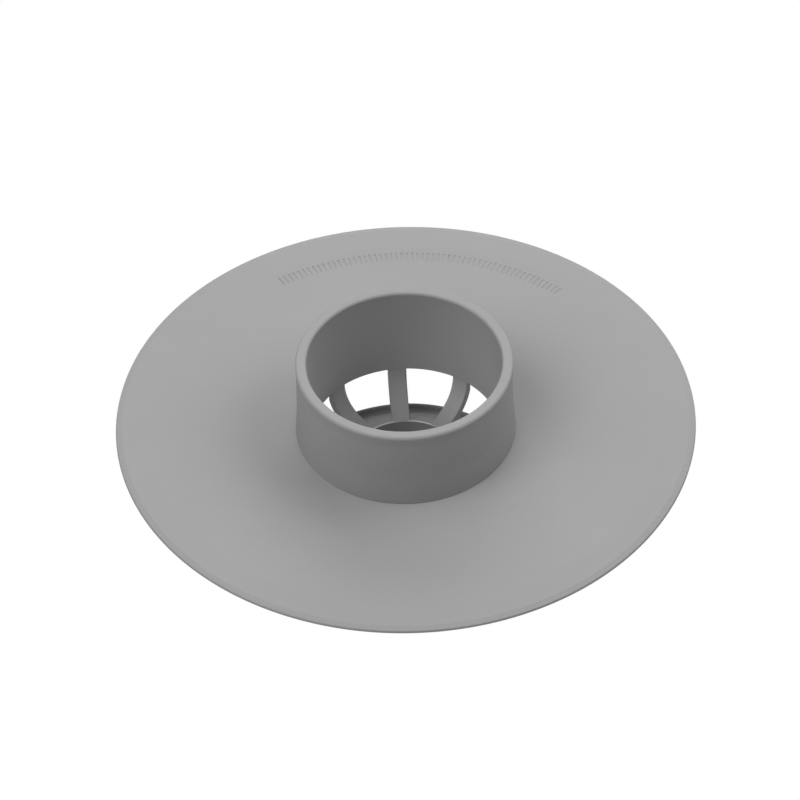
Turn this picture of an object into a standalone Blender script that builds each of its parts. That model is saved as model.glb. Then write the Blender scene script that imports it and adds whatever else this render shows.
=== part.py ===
"""Drain strainer with a wide sealing mat, standing on its cap with the neck up.

Four turned pieces share the Z axis. The origin is the centre of the cap's underside.
Lengths are in metres; profiles are lists of (radius, height) points.
"""

import math

import bmesh
import bpy
from mathutils import Matrix

MM = 0.001

# Driving dimensions
MAT_RADIUS = 54 * MM
MAT_TOP = 20.6 * MM           # height of the sealing face above the cap's underside
MAT_THICKNESS = 2.0 * MM      # at the neck
MAT_EDGE = 0.8 * MM           # at the outer edge
NECK_RADIUS = 20.15 * MM
NECK_HEIGHT = 16.9 * MM       # above the sealing face
FOOT_RADIUS = 20.45 * MM      # the neck flares a little towards the mat
FLARE_HEIGHT = 6.4 * MM       # above the sealing face
RIM_BORE = 18.2 * MM          # the neck's inner radius at the rim
THROAT_BORE = 17.65 * MM      # inner radius at the mat's lower face
RIB_COUNT = 9
RIB_WIDTH = 3.3 * MM
RIB_THICKNESS = 1.35 * MM
RIB_FIRST_ANGLE = 14.3        # degrees from +X
RIB_SHOULDER = 17.4 * MM      # radius at which the rib's two end slopes meet
RIB_SHOULDER_RISE = 0.8 * MM  # height of that point above the hub's lip
HUB_BORE = 10.1 * MM
HUB_RADIUS = 13.2 * MM
HUB_DROP = 8.6 * MM           # from the sealing face to the hub's lip
HUB_LENGTH = 5.8 * MM
CAP_RADIUS = 24.3 * MM
CAP_RIM_HEIGHT = 3.0 * MM     # from the cap's underside to its rim
CAP_FLOOR = 1.6 * MM          # thickness below the recess and at the foot of the cone
CAP_RIM_WALL = 0.55 * MM
CAP_FACE_RADIUS = 22.1 * MM   # the flat underside that it stands on
CAP_CURVE_HEIGHT = 1.8 * MM   # of the rounding between the underside and the rim

# Fits and edges
GAP = 0.3 * MM                # between pieces that touch
EDGE = 0.3 * MM               # small bevels
RIM_EDGE = 0.65 * MM          # the neck's rim is nearly round
BITE = 0.05 * MM              # how far a rib sinks into the ring and the hub
GROOVE_RADIUS = 19.7 * MM     # floor of the neck's groove, which holds the mat
SEAT_RADIUS = 21.0 * MM       # the flat sealing face starts here, clear of the neck
SEAT_DIP = 0.1 * MM           # how far the mat's face dips from there to its hole
LIP_RADIUS = 20.6 * MM
LIP_THICKNESS = 0.8 * MM
RING_RADIUS = 18.6 * MM       # the cage's ring, pushed into the neck from below
RING_TOP = 2.0 * MM           # its top, above the sealing face
RIB_OUTER_LIMIT = 18.5 * MM   # keeps the ribs' outer side within the ring
RIB_ROOT = 17.9 * MM          # inner radius of the rib's end inside the ring's wall
LIP_WIDTH = 0.25 * MM         # blunted edge between the hub's bore and its cone

# Derived heights above the cap's underside
NECK_TOP = MAT_TOP + NECK_HEIGHT
MAT_BOTTOM = MAT_TOP - MAT_THICKNESS
LIP_TOP = MAT_BOTTOM - GAP
LIP_BOTTOM = LIP_TOP - LIP_THICKNESS
HUB_TOP = MAT_TOP - HUB_DROP
HUB_BOTTOM = HUB_TOP - HUB_LENGTH
RIM_BEVEL = RIM_EDGE * (1 - math.sqrt(0.5))  # half-way round the rim's edge
CAP_RIM_BORE = CAP_RADIUS - CAP_RIM_WALL
CONE_TOP = HUB_BORE + LIP_WIDTH
CONE_SLOPE = (HUB_TOP - CAP_FLOOR) / (CAP_RIM_BORE - CONE_TOP)

SEGMENTS = 72
RIB_STEPS = 7


def clear_scene():
    for obj in list(bpy.data.objects):
        bpy.data.objects.remove(obj, do_unlink=True)


def rubber(name, colour, roughness):
    """A plain Principled material."""
    material = bpy.data.materials.new(name)
    material.use_nodes = True
    shader = material.node_tree.nodes["Principled BSDF"]
    shader.inputs["Base Color"].default_value = (*colour, 1)
    shader.inputs["Roughness"].default_value = roughness
    shader.inputs["Metallic"].default_value = 0
    return material


def new_object(name, bm, material=None):
    """Closes a bmesh into a named object with its faces pointing out."""
    bmesh.ops.recalc_face_normals(bm, faces=bm.faces)
    mesh = bpy.data.meshes.new(name)
    bm.to_mesh(mesh)
    bm.free()
    mesh.shade_smooth()
    mesh.set_sharp_from_angle(angle=math.radians(35))
    if material:
        mesh.materials.append(material)
    obj = bpy.data.objects.new(name, mesh)
    bpy.context.collection.objects.link(obj)
    return obj


def turned(name, profile, material=None):
    """Spins a closed (radius, height) profile round the Z axis."""
    bm = bmesh.new()
    points = [bm.verts.new((r, 0, z)) for r, z in profile]
    edges = [bm.edges.new((a, b)) for a, b in zip(points, points[1:] + points[:1])]
    bmesh.ops.spin(bm, geom=points + edges, axis=(0, 0, 1), cent=(0, 0, 0),
                   steps=SEGMENTS, angle=math.tau)
    bmesh.ops.remove_doubles(bm, verts=bm.verts, dist=0.001 * MM)
    on_axis = [e for e in bm.edges if not e.link_faces]
    bmesh.ops.delete(bm, geom=on_axis, context="EDGES")
    return new_object(name, bm, material)


def join_to(obj, other):
    """Unites another solid with the object, and hides it as a cutter."""
    other.hide_render = True
    other.display_type = "WIRE"
    union = obj.modifiers.new(other.name, "BOOLEAN")
    union.operation = "UNION"
    union.object = other


def bore_radius(z):
    """The neck's bore tapers from the rim to the mat's lower face."""
    share = (z - MAT_BOTTOM) / (NECK_TOP - MAT_BOTTOM)
    return THROAT_BORE + share * (RIM_BORE - THROAT_BORE)


def sealing_mat(material):
    """Thin flexible disc: flat sealing face on top, tapering to a rounded edge."""
    hole = GROOVE_RADIUS + GAP
    half = MAT_EDGE / 2
    rounding = [(MAT_RADIUS - half + half * math.cos(a), MAT_TOP - half + half * math.sin(a))
                for a in (math.radians(degrees) for degrees in (90, 45, 0, -45, -90))]
    profile = [(hole, MAT_TOP - SEAT_DIP), (SEAT_RADIUS, MAT_TOP), *rounding, (hole, MAT_BOTTOM)]
    return turned("sealing_mat", profile, material)


def drain_neck(material):
    """Collar that plugs into the drain, with a groove that grips the mat's hole."""
    socket = RING_RADIUS + GAP
    shoulder = MAT_TOP + RING_TOP + GAP
    profile = [
        (NECK_RADIUS, NECK_TOP - RIM_EDGE),
        (NECK_RADIUS - RIM_BEVEL, NECK_TOP - RIM_BEVEL),
        (NECK_RADIUS - RIM_EDGE, NECK_TOP),
        (RIM_BORE + RIM_EDGE, NECK_TOP),
        (RIM_BORE + RIM_BEVEL, NECK_TOP - RIM_BEVEL),
        (RIM_BORE, NECK_TOP - RIM_EDGE),
        (bore_radius(shoulder), shoulder),
        (socket, shoulder),
        (socket, LIP_BOTTOM),
        (LIP_RADIUS - EDGE, LIP_BOTTOM),
        (LIP_RADIUS, LIP_BOTTOM + EDGE),
        (LIP_RADIUS, LIP_TOP),
        (GROOVE_RADIUS, LIP_TOP),
        (GROOVE_RADIUS, MAT_TOP + GAP),
        (FOOT_RADIUS, MAT_TOP + GAP),
        (NECK_RADIUS, MAT_TOP + FLARE_HEIGHT),
    ]
    return turned("drain_neck", profile, material)


def rib_side():
    """Side view of a rib: out of the ring, curving in and levelling off at the hub."""
    start = (THROAT_BORE + BITE, MAT_BOTTOM)
    corner = (RIB_SHOULDER, HUB_TOP + RIB_SHOULDER_RISE)
    end = (HUB_BORE + BITE, HUB_TOP - BITE)
    inner = []
    outer = []
    for i in range(RIB_STEPS + 1):
        t = i / RIB_STEPS
        point = [(1 - t) ** 2 * a + 2 * t * (1 - t) * b + t * t * c
                 for a, b, c in zip(start, corner, end)]
        slope = [(1 - t) * (b - a) + t * (c - b) for a, b, c in zip(start, corner, end)]
        reach = RIB_THICKNESS / math.hypot(*slope)
        inner.append(tuple(point))
        outer.append((min(point[0] - slope[1] * reach, RIB_OUTER_LIMIT),
                      point[1] + slope[0] * reach))
    in_ring = [(RIB_OUTER_LIMIT, MAT_TOP), (RIB_ROOT, MAT_TOP)]
    return in_ring + inner + outer[::-1]


def ribs():
    """Nine prisms of the rib's side view, spread evenly round the axis."""
    bm = bmesh.new()
    for k in range(RIB_COUNT):
        points = [bm.verts.new((r, -RIB_WIDTH / 2, z)) for r, z in rib_side()]
        side = bm.faces.new(points)
        grown = bmesh.ops.extrude_face_region(bm, geom=[side])["geom"]
        moved = [v for v in grown if isinstance(v, bmesh.types.BMVert)]
        bmesh.ops.translate(bm, verts=moved, vec=(0, RIB_WIDTH, 0))
        turn = Matrix.Rotation(math.radians(RIB_FIRST_ANGLE + k * 360 / RIB_COUNT), 3, "Z")
        bmesh.ops.rotate(bm, verts=points + moved, cent=(0, 0, 0), matrix=turn)
    return new_object("ribs", bm)


def cone_height(r):
    """One cone runs from the hub's lip across the cap to the foot of its rim."""
    return HUB_TOP - (r - CONE_TOP) * CONE_SLOPE


def strainer_cage(material):
    """Ring, ribs and hub in one moulding."""
    ring_top = MAT_TOP + RING_TOP
    ring = [
        (bore_radius(ring_top), ring_top),
        (THROAT_BORE, MAT_BOTTOM),
        (RING_RADIUS, LIP_BOTTOM),
        (RING_RADIUS, ring_top),
    ]
    hub = [
        (HUB_BORE, HUB_TOP),
        (CONE_TOP, HUB_TOP),
        (HUB_RADIUS, cone_height(HUB_RADIUS)),
        (HUB_RADIUS, HUB_BOTTOM),
        (HUB_BORE, HUB_BOTTOM),
    ]
    cage = turned("strainer_cage", ring, material)
    join_to(cage, turned("hub", hub))
    join_to(cage, ribs())
    return cage


def cap(material):
    """Round cap: flat outer face, cone inside with a small rim, and a well for the hub."""
    well = HUB_RADIUS + GAP
    well_floor = HUB_BOTTOM - GAP
    rounding = [(CAP_FACE_RADIUS + (CAP_RADIUS - CAP_FACE_RADIUS) * math.cos(a),
                 CAP_CURVE_HEIGHT * (1 - math.sin(a)))
                for a in (math.radians(degrees) for degrees in (0, 30, 60, 90))]
    profile = [
        (0, CAP_FLOOR),
        (HUB_BORE, CAP_FLOOR),
        (HUB_BORE, well_floor),
        (well, well_floor),
        (well, cone_height(well)),
        (CAP_RIM_BORE - EDGE, cone_height(CAP_RIM_BORE - EDGE)),
        (CAP_RIM_BORE, CAP_FLOOR + EDGE),
        (CAP_RIM_BORE, CAP_RIM_HEIGHT),
        (CAP_RADIUS, CAP_RIM_HEIGHT),
        *rounding,
        (0, 0),
    ]
    return turned("cap", profile, material)


def build():
    clear_scene()
    grey = (0.36, 0.36, 0.36)
    soft = rubber("soft_silicone", grey, 0.6)
    firm = rubber("firm_silicone", grey, 0.55)
    sealing_mat(soft)
    drain_neck(soft)
    strainer_cage(firm)
    cap(firm)


build()
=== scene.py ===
"""Looks of the drain strainer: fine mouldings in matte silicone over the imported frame.

Lengths are in metres. Profiles are closed lists of (radius, height, fillet) corners.
"""

import math

import bmesh
import bpy
from mathutils import Matrix, Vector


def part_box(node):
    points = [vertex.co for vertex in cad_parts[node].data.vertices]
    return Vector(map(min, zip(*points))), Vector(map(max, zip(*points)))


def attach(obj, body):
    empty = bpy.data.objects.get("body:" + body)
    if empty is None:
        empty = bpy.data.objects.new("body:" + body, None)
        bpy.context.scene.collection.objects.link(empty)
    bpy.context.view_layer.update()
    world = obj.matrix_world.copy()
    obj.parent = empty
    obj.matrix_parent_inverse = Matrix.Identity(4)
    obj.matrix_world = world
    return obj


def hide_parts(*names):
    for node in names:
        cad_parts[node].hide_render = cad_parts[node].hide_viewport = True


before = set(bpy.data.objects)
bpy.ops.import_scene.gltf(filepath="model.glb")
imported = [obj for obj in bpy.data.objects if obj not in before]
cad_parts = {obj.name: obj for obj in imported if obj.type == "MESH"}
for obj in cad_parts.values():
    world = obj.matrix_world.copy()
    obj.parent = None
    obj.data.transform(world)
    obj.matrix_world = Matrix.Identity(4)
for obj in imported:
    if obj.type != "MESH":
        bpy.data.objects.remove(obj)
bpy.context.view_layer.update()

MM = 0.001

# Sizes read from the frame
mat_low, mat_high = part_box("sealing_mat")
neck_low, neck_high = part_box("drain_neck")
cage_low, cage_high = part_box("strainer_cage")
cap_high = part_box("cap")[1]

MAT_RADIUS = mat_high.x
MAT_TOP = mat_high.z
MAT_BOTTOM = mat_low.z
MAT_EDGE = 0.8 * MM           # thickness of the mat at its edge
LIP_RADIUS = neck_high.x
LIP_BOTTOM = neck_low.z
LIP_TOP = LIP_BOTTOM + 0.8 * MM
FOOT_RADIUS = LIP_RADIUS - 0.15 * MM
NECK_RADIUS = FOOT_RADIUS - 0.3 * MM
NECK_TOP = neck_high.z
FLARE_TOP = MAT_TOP + 6.4 * MM
GROOVE_RADIUS = FOOT_RADIUS - 0.75 * MM
RIM_BORE = NECK_RADIUS - 1.95 * MM
THROAT_BORE = RIM_BORE - 0.55 * MM
RING_RADIUS = cage_high.x
RING_TOP = cage_high.z
HUB_BOTTOM = cage_low.z
HUB_TOP = HUB_BOTTOM + 5.8 * MM
HUB_BORE = 10.1 * MM
HUB_RADIUS = 13.2 * MM
CAP_RADIUS = cap_high.x
CAP_RIM_HEIGHT = 3.0 * MM
CAP_RIM_BORE = CAP_RADIUS - 0.55 * MM
CAP_FLOOR = 1.6 * MM
CAP_FACE = CAP_RADIUS - 2.2 * MM
CONE_TOP = HUB_BORE + 0.25 * MM  # radius at which the hub's cone starts
CONE_SLOPE = (HUB_TOP - CAP_FLOOR) / (CAP_RIM_BORE - CONE_TOP)
SEAM = 0.04 * MM              # hairline between pieces that touch
BEAD_RISE = 0.15 * MM         # height of the bead round the hub's lip
BEAD_TOP = 0.28 * MM          # width of its top
BEAD_FOOT = 0.4 * MM          # width of its foot

# Ribs
RIB_COUNT = 9
RIB_FIRST_ANGLE = 14.3        # degrees from +X
RIB_ROOT_WIDTH = 3.6 * MM     # at the ring
RIB_TIP_WIDTH = 3.5 * MM      # at the hub
RIB_THICKNESS = 1.35 * MM
RIB_DRAFT = 0.2 * MM          # narrowing of each side from the outer face to the inner one
RIB_CORNER = 0.15 * MM
RIB_SHOULDER = 17.4 * MM      # radius at which the rib's two end slopes meet
RIB_SHOULDER_RISE = 0.8 * MM  # height of that point above the hub's lip
RIB_OUTER_LIMIT = RING_RADIUS - 0.1 * MM
WELD = 0.01 * MM              # points left closer than this by a union are merged

# Camera
CAMERA_DISTANCE = 60 * MAT_RADIUS
CAMERA_ELEVATION = 44.42      # degrees
CAMERA_ROLL = -1.4            # degrees
MAT_SHARE = 0.3627125         # the mat's radius as a share of the picture's width
AIM_LEFT = 0.02 * MAT_RADIUS  # from the mat's centre, as the picture shows it
AIM_UP = 0.092 * MAT_RADIUS


# Shapes

SHARP_ANGLE = 40              # degrees; edges that turn more than this stay sharp
ROUND_SHARE = 0.46            # of a side's length, the most that a corner's arc takes
ON_AXIS = 1e-7                # a radius below this counts as none
OUTLINE_STEP = 1.5 * MM       # spacing of points along an outline's straight stretches


def rounded(corners, steps=7, hold=0.06 * MM):
    """Rounds a closed outline's corners with arcs, holding a point before and after each."""
    outline = []
    count = len(corners)
    for i, (r, z, fillet) in enumerate(corners):
        corner = Vector((r, z))
        back = Vector(corners[i - 1][:2]) - corner
        ahead = Vector(corners[(i + 1) % count][:2]) - corner
        if not fillet:
            outline.append(corner)
            continue
        half = back.angle(ahead) / 2
        reach = min(fillet / math.tan(half), ROUND_SHARE * back.length,
                    ROUND_SHARE * ahead.length)
        radius = reach * math.tan(half)
        back_dir = back.normalized()
        ahead_dir = ahead.normalized()
        centre = corner + (back_dir + ahead_dir).normalized() * (radius / math.sin(half))
        first = corner + back_dir * reach - centre
        sweep = math.pi - 2 * half
        if back_dir.cross(ahead_dir) > 0:
            sweep = -sweep
        if back.length > 3 * reach + hold:
            outline.append(corner + back_dir * (reach + hold))
        for k in range(steps + 1):
            turn = sweep * k / steps
            outline.append(centre + Matrix.Rotation(turn, 2) @ first)
        if ahead.length > 3 * reach + hold:
            outline.append(corner + ahead_dir * (reach + hold))
    return [(p.x, p.y) for p in outline]


def spaced(outline, step):
    """Adds points along an outline's long straight stretches."""
    points = []
    for a, b in zip(outline, outline[1:] + outline[:1]):
        parts = max(1, round(math.dist(a, b) / step))
        for k in range(parts):
            t = k / parts
            points.append(tuple(p + t * (q - p) if p != q else p for p, q in zip(a, b)))
    return points


def smooth(mesh):
    """Shades a mesh smooth and keeps its sharp edges."""
    mesh.shade_smooth()
    mesh.set_sharp_from_angle(angle=math.radians(SHARP_ANGLE))


def new_piece(name, bm):
    """Turns a bmesh into a smooth-shaded object."""
    bmesh.ops.recalc_face_normals(bm, faces=bm.faces)
    mesh = bpy.data.meshes.new(name)
    bm.to_mesh(mesh)
    bm.free()
    smooth(mesh)
    obj = bpy.data.objects.new(name, mesh)
    bpy.context.collection.objects.link(obj)
    return obj


def lathe(profile, angles, lift=None):
    """Revolves a closed (radius, height) outline; lift(r, angle, z) gives each point's rise."""
    bm = bmesh.new()
    columns = []
    poles = {}
    for a in angles:
        column = []
        for r, z in profile:
            if r < ON_AXIS:
                if z not in poles:
                    poles[z] = bm.verts.new((0, 0, z))
                column.append(poles[z])
                continue
            up = lift(r, a, z) if lift else 0
            column.append(bm.verts.new((r * math.cos(a), r * math.sin(a), z + up)))
        columns.append(column)
    for left, right in zip(columns, columns[1:] + columns[:1]):
        for k in range(len(profile)):
            ring = [left[k - 1], left[k], right[k], right[k - 1]]
            corners = list(dict.fromkeys(ring))
            if len(corners) > 2:
                bm.faces.new(corners)
    return bm


def evenly(count):
    """Angles of that many equal steps round the axis."""
    return [math.tau * i / count for i in range(count)]


# Sealing mat

STEP_INNER = 0.867 * MAT_RADIUS
STEP_OUTER = 0.879 * MAT_RADIUS
STEP_HEIGHT = 0.03 * MM
CREASE_RADIUS = 0.889 * MAT_RADIUS
CREASE_RISE = 0.62 * MM       # mean lift of the mat at its crease
EDGE_RISE = 0.48 * MM         # mean lift of its edge, beyond the crease
EDGE_TILT = 0.23 * MM
TILT_ANGLE = 244              # degrees from +X, where the tilt lifts most
EDGE_BEND = 0.19 * MM
BEND_ANGLE = 9                # degrees from +X, where the bend lifts most
TICK_INNER = 0.822 * MAT_RADIUS
TICK_OUTER = 0.857 * MAT_RADIUS
TICK_WIDTH = 0.3 * MM
TICK_WALL = 0.07 * MM         # width of a tick's sloping wall
TICK_DEPTH = 0.12 * MM
TICKS_FROM = 50               # degrees from +X
TICKS_TO = 120
TICK_COUNT = 57
TICK_MARGIN = 0.3 * MM        # kept clear of other points round the ticks
BEVEL_WIDTH = 1.2 * MM        # of the bevel on the mat's edge
BEVEL_DROP = 0.28 * MM
EDGE_SLANT = 0.12 * MM        # how far the edge leans out below the bevel


def tick_angles():
    """Middle angle of each sunken tick."""
    step = (TICKS_TO - TICKS_FROM) / (TICK_COUNT - 1)
    return [math.radians(TICKS_FROM + step * i) for i in range(TICK_COUNT)]


def mat_angles():
    """Even steps round the mat, with the ticks' floors and walls in place of those they cover."""
    middle = (TICK_INNER + TICK_OUTER) / 2
    half = TICK_WIDTH / 2 / middle
    wall = TICK_WALL / middle
    floors = set()
    near = []
    for a in tick_angles():
        floors.update((a - half, a + half))
        near += [a - half - wall, a - half, a + half, a + half + wall]
    first, last = near[0] - wall, near[-1] + wall
    plain = [a for a in evenly(360) if not first < a < last]
    return sorted(plain + near), floors


def wave(r, a):
    """The thin mat doesn't lie quite flat: it rises to its crease, tilts and bends."""
    if r <= FOOT_RADIUS:
        return 0
    if r < CREASE_RADIUS:
        rise = CREASE_RISE * ((r - FOOT_RADIUS) / (CREASE_RADIUS - FOOT_RADIUS)) ** 1.2
    else:
        beyond = (r - CREASE_RADIUS) / (MAT_RADIUS - CREASE_RADIUS)
        rise = CREASE_RISE + (EDGE_RISE - CREASE_RISE) * beyond
    share = ((r - FOOT_RADIUS) / (MAT_RADIUS - FOOT_RADIUS)) ** 1.7
    tilt = EDGE_TILT * math.cos(a - math.radians(TILT_ANGLE))
    bend = EDGE_BEND * math.cos(2 * (a - math.radians(BEND_ANGLE)))
    return rise + share * (tilt + bend)


def sealing_mat():
    """Thin mat with a stepped top, a bevelled edge and a row of sunken ticks."""
    angles, floors = mat_angles()
    hole = GROOVE_RADIUS + SEAM
    top = [(hole, MAT_TOP, 0),
           (STEP_INNER, MAT_TOP, 0),
           (STEP_OUTER, MAT_TOP + STEP_HEIGHT, 0),
           (CREASE_RADIUS, MAT_TOP + STEP_HEIGHT, 0)]
    edge = [(MAT_RADIUS - BEVEL_WIDTH, MAT_TOP, 0.5 * MM),
            (MAT_RADIUS - EDGE_SLANT, MAT_TOP - BEVEL_DROP, 0.2 * MM),
            (MAT_RADIUS, MAT_TOP - MAT_EDGE, 0.12 * MM)]
    profile = spaced(rounded(top + edge + [(hole, MAT_BOTTOM, 0)]), OUTLINE_STEP)
    rings = [TICK_INNER - TICK_WALL, TICK_INNER, TICK_OUTER, TICK_OUTER + TICK_WALL]
    inner, outer = rings[0] - TICK_MARGIN, rings[3] + TICK_MARGIN
    covered = [p for p in profile if p[1] == MAT_TOP and inner < p[0] < outer]
    start = profile.index(covered[0])
    profile = [p for p in profile if p not in covered]
    profile[start:start] = [(r, MAT_TOP) for r in rings]

    def lift(r, a, z):
        sunk = z == MAT_TOP and rings[1] <= r <= rings[2] and a in floors
        return wave(r, a) - (TICK_DEPTH if sunk else 0)

    return new_piece("mat_moulding", lathe(profile, angles, lift))


# Neck

RIM_SWELL = 0.2 * MM          # the rim stands out a little from the neck's waist


def bore_radius(z):
    """The neck's bore tapers from the rim to the mat's lower face."""
    share = (z - MAT_BOTTOM) / (NECK_TOP - MAT_BOTTOM)
    return THROAT_BORE + share * (RIM_BORE - THROAT_BORE)


def drain_neck():
    """Collar with a flared foot, a groove for the mat and a socket for the cage's ring."""
    socket = RING_RADIUS + SEAM
    shoulder = RING_TOP + SEAM / 2
    corners = [
        (NECK_RADIUS + RIM_SWELL, NECK_TOP, 0.55 * MM),
        (RIM_BORE, NECK_TOP, 0.5 * MM),
        (bore_radius(shoulder), shoulder, 0.01 * MM),
        (socket, shoulder, 0.1 * MM),
        (socket, LIP_BOTTOM, 0.15 * MM),
        (LIP_RADIUS, LIP_BOTTOM, 0.3 * MM),
        (LIP_RADIUS, LIP_TOP, 0.15 * MM),
        (GROOVE_RADIUS, LIP_TOP, 0.1 * MM),
        (GROOVE_RADIUS, MAT_TOP + SEAM, 0.1 * MM),
        (FOOT_RADIUS, MAT_TOP + SEAM, 0.08 * MM),
        (NECK_RADIUS, FLARE_TOP, 8 * MM),
        (NECK_RADIUS, NECK_TOP - 2.5 * MM, 5 * MM),
    ]
    profile = spaced(rounded(corners), OUTLINE_STEP)
    return new_piece("neck_moulding", lathe(profile, evenly(240)))


# Strainer cage

def rib_path(t):
    """Point and slope of a rib's inner face, which curves in from the ring to the hub.

    t runs from 0 at the ring to 1 at the hub; below 0 it is a length back into the ring.
    """
    start = Vector((THROAT_BORE, MAT_BOTTOM))
    corner = Vector((RIB_SHOULDER, HUB_TOP + RIB_SHOULDER_RISE))
    end = Vector((HUB_BORE + 0.02 * MM, HUB_TOP + 0.25 * MM))
    if t < 0:
        slope = (corner - start).normalized()
        return start + slope * t, slope
    point = (1 - t) ** 2 * start + 2 * t * (1 - t) * corner + t * t * end
    return point, ((1 - t) * (corner - start) + t * (end - corner)).normalized()


def rib_section(t):
    """Rounded wedge: x across the rib, y from its inner face outwards."""
    half = (RIB_ROOT_WIDTH + max(0, t) * (RIB_TIP_WIDTH - RIB_ROOT_WIDTH)) / 2
    inner = half - RIB_DRAFT
    corners = [(-inner, 0, RIB_CORNER), (inner, 0, RIB_CORNER),
               (half, RIB_THICKNESS, RIB_CORNER), (-half, RIB_THICKNESS, RIB_CORNER)]
    return rounded(corners, steps=4)


def rib(turn, steps=26):
    """One rib swept along its path and turned to its place round the axis."""
    bm = bmesh.new()
    into_ring = -1.2 * MM
    stations = [into_ring] + [i / steps for i in range(steps + 1)]
    loops = []
    for t in stations:
        point, slope = rib_path(t)
        out = Vector((-slope.y, slope.x))
        loop = []
        for x, y in rib_section(t):
            side = point + out * y
            loop.append(bm.verts.new((min(side.x, RIB_OUTER_LIMIT), x, side.y)))
        loops.append(loop)
    for a, b in zip(loops, loops[1:]):
        for i in range(len(a)):
            bm.faces.new((a[i - 1], a[i], b[i], b[i - 1]))
    bm.faces.new(loops[0])
    bm.faces.new(loops[-1][::-1])
    bmesh.ops.rotate(bm, verts=bm.verts, cent=(0, 0, 0), matrix=Matrix.Rotation(turn, 3, "Z"))
    return bm


def weld(mesh):
    """Merges the points that a union leaves almost together, and makes its faces triangles."""
    bm = bmesh.new()
    bm.from_mesh(mesh)
    bmesh.ops.remove_doubles(bm, verts=bm.verts, dist=WELD)
    bmesh.ops.dissolve_degenerate(bm, edges=bm.edges, dist=WELD)
    bmesh.ops.triangulate(bm, faces=bm.faces)
    bm.to_mesh(mesh)
    bm.free()


def unite(obj, others):
    """Joins closed solids to the object and removes them."""
    for other in others:
        union = obj.modifiers.new("union", "BOOLEAN")
        union.operation = "UNION"
        union.solver = "MANIFOLD"
        union.object = other
    evaluated = obj.evaluated_get(bpy.context.evaluated_depsgraph_get())
    mesh = bpy.data.meshes.new_from_object(evaluated)
    weld(mesh)
    obj.modifiers.clear()
    obj.data = mesh
    for other in others:
        bpy.data.objects.remove(other)
    smooth(mesh)


def cone_height(r):
    """Height of the hub's cone at a radius; the cap's own cone starts on it, at the well."""
    return HUB_TOP - (r - CONE_TOP) * CONE_SLOPE


def strainer_cage():
    """Ring, ribs and hub, united in one moulding."""
    ring = [
        (bore_radius(RING_TOP), RING_TOP, 0.01 * MM),
        (THROAT_BORE, MAT_BOTTOM, 0.15 * MM),
        (RING_RADIUS, LIP_BOTTOM, 0.2 * MM),
        (RING_RADIUS, RING_TOP, 0.15 * MM),
    ]
    hub = [
        (HUB_BORE, HUB_TOP + BEAD_RISE, 0.08 * MM),
        (HUB_BORE + BEAD_TOP, HUB_TOP + BEAD_RISE, 0.08 * MM),
        (HUB_BORE + BEAD_FOOT, cone_height(HUB_BORE + BEAD_FOOT), 0.05 * MM),
        (HUB_RADIUS, cone_height(HUB_RADIUS), 0.05 * MM),
        (HUB_RADIUS, HUB_BOTTOM, 0.2 * MM),
        (HUB_BORE, HUB_BOTTOM, 0.2 * MM),
    ]
    cage = new_piece("cage_moulding", lathe(rounded(ring), evenly(216)))
    parts = [new_piece("hub", lathe(rounded(hub), evenly(180)))]
    for k in range(RIB_COUNT):
        turn = math.radians(RIB_FIRST_ANGLE + k * 360 / RIB_COUNT)
        parts.append(new_piece("rib", rib(turn)))
    unite(cage, parts)
    return cage


# Cap

CAP_SLOPE = 0.87              # of the cap's cone, a little steeper than the hub's
FOOT_WIDTH = 3.6 * MM         # the cone's foot levels off over this width
FOOT_SLOPE = 0.05             # its slope where it meets the rim
CAP_STEP = 2 * MM             # spacing of points along the cap's outline


def cone_foot(r, z, steps=10):
    """Hollow curve from the cone's point (r, z) out to the rim, as corners after that point."""
    width = CAP_RIM_BORE - r
    corners = []
    for k in range(1, steps + 1):
        x = width * k / steps
        rise = (CAP_SLOPE - FOOT_SLOPE) * x * x / (2 * width)
        corners.append((r + x, z - CAP_SLOPE * x + rise, 0))
    return corners


def cap():
    """Flat outside; inside, a thin rim round a cone that a well cuts in its middle."""
    well = HUB_RADIUS + SEAM
    well_floor = HUB_BOTTOM - SEAM
    foot = CAP_RIM_BORE - FOOT_WIDTH
    foot_top = cone_height(well) - (foot - well) * CAP_SLOPE
    corners = [
        (0, CAP_FLOOR, 0),
        (HUB_BORE, CAP_FLOOR, 0.8 * MM),
        (HUB_BORE, well_floor, 0.15 * MM),
        (well, well_floor, 0.1 * MM),
        (well, cone_height(well), 0.05 * MM),
        (foot, foot_top, 0),
        *cone_foot(foot, foot_top),
        (CAP_RIM_BORE, CAP_RIM_HEIGHT, 0.25 * MM),
        (CAP_RADIUS, CAP_RIM_HEIGHT, 0.25 * MM),
        (CAP_RADIUS, CAP_FLOOR, 1.2 * MM),
        (CAP_FACE, 0, 3.0 * MM),
        (0, 0, 0),
    ]
    profile = spaced(rounded(corners), CAP_STEP)
    return new_piece("cap_moulding", lathe(profile, evenly(216)))


# Material

# The pale line round the hub's lip is a painted highlight: the colour is made lighter there,
# standing in for light.
HIGHLIGHT_RADIUS = HUB_BORE + 0.14 * MM  # middle of the painted highlight on the lip
HIGHLIGHT_HEIGHT = HUB_TOP + 0.14 * MM
HIGHLIGHT_REACH = 0.2 * MM         # how far it runs each way, sideways
HIGHLIGHT_RISE = 0.06 * MM         # and up and down


def link(tree, source, socket):
    tree.links.new(source, socket)


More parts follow.
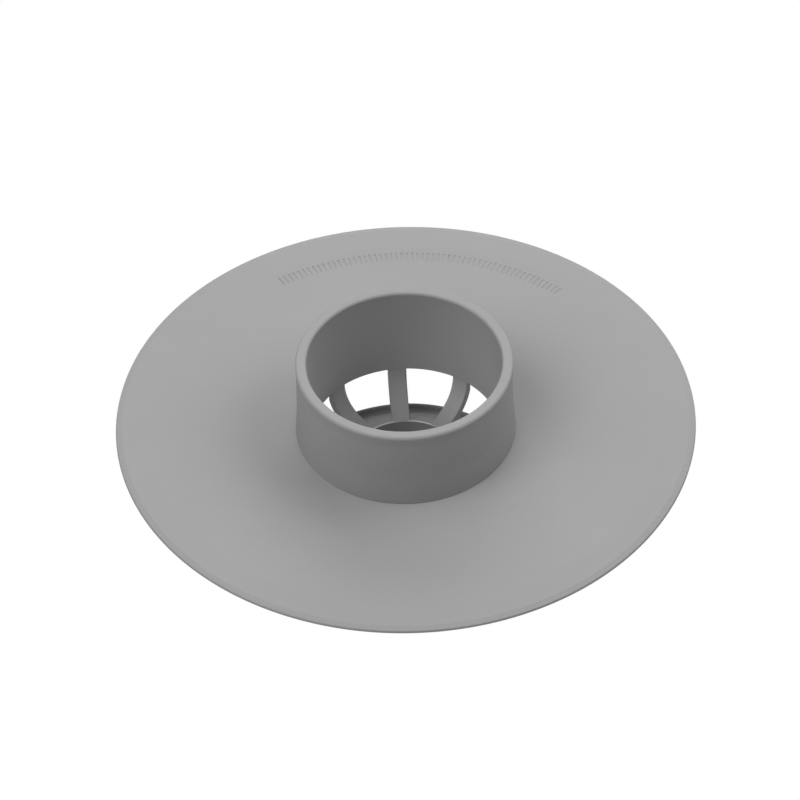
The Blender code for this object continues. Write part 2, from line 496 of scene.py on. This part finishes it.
def painted_lip_highlight(tree, coords):
    """1 on the bead round the hub's lip, where a painted highlight lightens the colour, and 0
    elsewhere.
    """
    def compare(value, target, reach):
        node = tree.nodes.new("ShaderNodeMath")
        node.operation = "COMPARE"
        link(tree, value, node.inputs[0])
        node.inputs[1].default_value = target
        node.inputs[2].default_value = reach
        return node.outputs[0]

    parts = tree.nodes.new("ShaderNodeSeparateXYZ")
    link(tree, coords, parts.inputs[0])
    flat = tree.nodes.new("ShaderNodeCombineXYZ")
    link(tree, parts.outputs["X"], flat.inputs["X"])
    link(tree, parts.outputs["Y"], flat.inputs["Y"])
    radius = tree.nodes.new("ShaderNodeVectorMath")
    radius.operation = "LENGTH"
    link(tree, flat.outputs[0], radius.inputs[0])
    both = tree.nodes.new("ShaderNodeMath")
    both.operation = "MULTIPLY"
    link(tree, compare(radius.outputs["Value"], HIGHLIGHT_RADIUS, HIGHLIGHT_REACH), both.inputs[0])
    link(tree, compare(parts.outputs["Z"], HIGHLIGHT_HEIGHT, HIGHLIGHT_RISE), both.inputs[1])
    return both.outputs[0]


def silicone(name, tone, roughness, grain, lip_highlight=0):
    """Matte moulded silicone: faint cloudiness, satin grain and uneven sheen; a lip share paints
    a highlight into the colour round the hub's lip.
    """
    material = bpy.data.materials.new(name)
    material.use_nodes = True
    tree = material.node_tree
    shader = tree.nodes["Principled BSDF"]
    shader.inputs["Metallic"].default_value = 0
    shader.inputs["IOR"].default_value = 1.41
    shader.inputs["Specular IOR Level"].default_value = 0.4
    coords = tree.nodes.new("ShaderNodeTexCoord").outputs["Object"]

    def noise(scale, detail, rough=0.5):
        node = tree.nodes.new("ShaderNodeTexNoise")
        node.inputs["Scale"].default_value = scale
        node.inputs["Detail"].default_value = detail
        node.inputs["Roughness"].default_value = rough
        link(tree, coords, node.inputs["Vector"])
        return node.outputs["Fac"]

    def spread(value, low, high):
        node = tree.nodes.new("ShaderNodeMapRange")
        node.inputs["To Min"].default_value = low
        node.inputs["To Max"].default_value = high
        link(tree, value, node.inputs["Value"])
        return node.outputs["Result"]

    cloud = spread(noise(45, 3), tone * 0.97, tone * 1.03)
    specks = spread(noise(2200, 2), 0.985, 1.015)
    mixed = tree.nodes.new("ShaderNodeMath")
    mixed.operation = "MULTIPLY"
    link(tree, cloud, mixed.inputs[0])
    link(tree, specks, mixed.inputs[1])
    # Painted highlight: the colour is made lighter on the bead round the hub's lip.
    if lip_highlight:
        highlighted = tree.nodes.new("ShaderNodeMath")
        highlighted.operation = "MULTIPLY_ADD"
        link(tree, painted_lip_highlight(tree, coords), highlighted.inputs[0])
        highlighted.inputs[1].default_value = lip_highlight
        link(tree, mixed.outputs[0], highlighted.inputs[2])
        mixed = highlighted
    colour = tree.nodes.new("ShaderNodeCombineColor")
    for channel in ("Red", "Green", "Blue"):
        link(tree, mixed.outputs[0], colour.inputs[channel])
    link(tree, colour.outputs["Color"], shader.inputs["Base Color"])
    link(tree, spread(noise(160, 4, 0.6), roughness - 0.06, roughness + 0.06),
         shader.inputs["Roughness"])

    bump = tree.nodes.new("ShaderNodeBump")
    bump.inputs["Strength"].default_value = grain
    bump.inputs["Distance"].default_value = 0.03 * MM
    link(tree, noise(3500, 3, 0.6), bump.inputs["Height"])
    link(tree, bump.outputs["Normal"], shader.inputs["Normal"])
    return material


# Setting

FLOOR_DROP = 32 * MM
FLOOR_REACH = 3.0             # metres from the middle of the floor to its sides
FLOOR_GLOW = 0.52             # light that the floor throws on the object
WORLD_GLOW = 0.03             # light from all round
LIGHT_DISTANCE = 0.7          # metres from the mat's centre


def studio_floor():
    """Plain white floor, below the pieces that pull out downwards; from under it, it is clear."""
    mesh = bpy.data.meshes.new("floor")
    half, low = FLOOR_REACH, -FLOOR_DROP
    corners = [(-half, -half, low), (half, -half, low), (half, half, low), (-half, half, low)]
    mesh.from_pydata(corners, [], [(0, 1, 2, 3)])
    floor = bpy.data.objects.new("floor", mesh)
    bpy.context.collection.objects.link(floor)
    material = bpy.data.materials.new("floor")
    material.use_nodes = True
    tree = material.node_tree
    tree.nodes.clear()
    output = tree.nodes.new("ShaderNodeOutputMaterial")
    seen = tree.nodes.new("ShaderNodeEmission")
    seen.inputs["Strength"].default_value = 1.0
    lit = tree.nodes.new("ShaderNodeEmission")
    lit.inputs["Strength"].default_value = FLOOR_GLOW
    path = tree.nodes.new("ShaderNodeLightPath")
    mix = tree.nodes.new("ShaderNodeMixShader")
    link(tree, path.outputs["Is Camera Ray"], mix.inputs["Fac"])
    link(tree, lit.outputs[0], mix.inputs[1])
    link(tree, seen.outputs[0], mix.inputs[2])
    clear = tree.nodes.new("ShaderNodeBsdfTransparent")
    geometry = tree.nodes.new("ShaderNodeNewGeometry")
    from_above = tree.nodes.new("ShaderNodeMixShader")
    link(tree, geometry.outputs["Backfacing"], from_above.inputs["Fac"])
    link(tree, mix.outputs[0], from_above.inputs[1])
    link(tree, clear.outputs[0], from_above.inputs[2])
    link(tree, from_above.outputs[0], output.inputs["Surface"])
    mesh.materials.append(material)


def studio_world():
    """Even pale surroundings, white where the camera sees them."""
    world = bpy.data.worlds.new("studio")
    world.use_nodes = True
    bpy.context.scene.world = world
    tree = world.node_tree
    background = tree.nodes["Background"]
    background.inputs["Color"].default_value = (1, 1, 1, 1)
    seen = tree.nodes.new("ShaderNodeBackground")
    seen.inputs["Color"].default_value = (1, 1, 1, 1)
    seen.inputs["Strength"].default_value = 1.0
    background.inputs["Strength"].default_value = WORLD_GLOW
    path = tree.nodes.new("ShaderNodeLightPath")
    mix = tree.nodes.new("ShaderNodeMixShader")
    link(tree, path.outputs["Is Camera Ray"], mix.inputs["Fac"])
    link(tree, background.outputs[0], mix.inputs[1])
    link(tree, seen.outputs[0], mix.inputs[2])
    link(tree, mix.outputs[0], tree.nodes["World Output"].inputs["Surface"])


def softbox(name, azimuth, elevation, size, power):
    """Square area light aimed at the mat's centre; azimuth is counted from +X."""
    light = bpy.data.lights.new(name, "AREA")
    light.size = size
    light.energy = power
    obj = bpy.data.objects.new(name, light)
    a, e = math.radians(azimuth), math.radians(elevation)
    towards = Vector((math.cos(a) * math.cos(e), math.sin(a) * math.cos(e), math.sin(e)))
    obj.location = Vector((0, 0, MAT_TOP)) + towards * LIGHT_DISTANCE
    obj.rotation_mode = "QUATERNION"
    obj.rotation_quaternion = towards.to_track_quat("Z", "Y")
    obj.visible_camera = False
    bpy.context.collection.objects.link(obj)


def lights():
    """Five softboxes: azimuth, elevation, size in metres and power in watts."""
    softbox("back", 90, 25, 0.5, 1.8)
    softbox("right_back", 45, 45, 0.6, 1.4)
    softbox("right", 0, 45, 0.5, 1.6)
    softbox("left", 180, 45, 0.6, 1.1)
    softbox("left_front", 225, 57, 0.55, 2.5)


def camera():
    """Long lens at the picture's elevation and slight roll."""
    data = bpy.data.cameras.new("camera")
    data.sensor_width = 36
    data.lens = data.sensor_width * MAT_SHARE * CAMERA_DISTANCE / MAT_RADIUS
    data.clip_start = 0.1
    data.clip_end = 50
    obj = bpy.data.objects.new("camera", data)
    e, roll = math.radians(CAMERA_ELEVATION), math.radians(CAMERA_ROLL)
    back = Vector((0, -math.cos(e), math.sin(e)))
    level = Vector((1, 0, 0))
    upright = back.cross(level)
    right = level * math.cos(roll) + upright * math.sin(roll)
    up = back.cross(right)
    aim = Vector((0, 0, MAT_TOP)) - right * AIM_LEFT + up * AIM_UP
    turn = Matrix((right, up, back)).transposed().to_4x4()
    obj.matrix_world = Matrix.Translation(aim + back * CAMERA_DISTANCE) @ turn
    bpy.context.collection.objects.link(obj)
    bpy.context.scene.camera = obj


# The object

def place(piece, node, body, material):
    """Gives a piece its material and puts it in the place of its CAD node."""
    piece.data.materials.clear()
    piece.data.materials.append(material)
    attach(piece, body)
    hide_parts(node)


soft = silicone("soft_silicone", tone=0.36, roughness=0.62, grain=0.25)
# The firm silicone carries a painted highlight on the hub's lip.
firm = silicone("firm_silicone", tone=0.36, roughness=0.58, grain=0.2, lip_highlight=0.34)
place(sealing_mat(), "sealing_mat", "base", soft)
place(drain_neck(), "drain_neck", "base", soft)
place(strainer_cage(), "strainer_cage", "strainer", firm)
place(cap(), "cap", "cap", firm)

studio_floor()
studio_world()
lights()
camera()
bpy.context.scene.view_settings.view_transform = "Standard"
